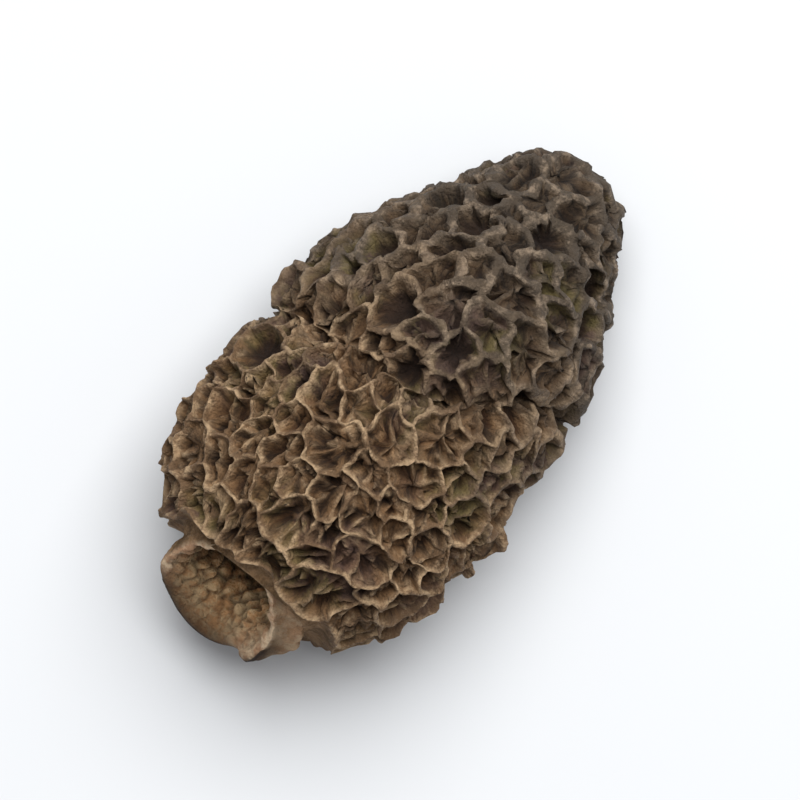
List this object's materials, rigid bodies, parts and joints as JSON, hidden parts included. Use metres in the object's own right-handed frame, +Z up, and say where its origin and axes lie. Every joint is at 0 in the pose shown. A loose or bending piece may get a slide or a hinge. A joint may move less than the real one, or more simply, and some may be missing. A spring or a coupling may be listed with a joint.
{
  "type": "dried morel mushroom",
  "caption": "Dried morel lying on its side: long pitted cap with a net of thin ridges, short cut stem stub, hollow from the mouth to the tip.",
  "frame": {"origin": "on the surface the morel lies on, under the middle of its outer box", "axes": "+X along the cap towards its tip, the cut mouth at -X; +Z up from the surface it lies on; +Y to its left"},
  "size_m": [0.0678, 0.038, 0.0289],
  "materials": {
    "flesh": "matte dry mushroom flesh, tan on the ridges, dark brown in the pits, greyer at the tip, pale golden inside"
  },
  "bodies": {
    "root": {"morel": "flesh"}
  },
  "joints": []
}
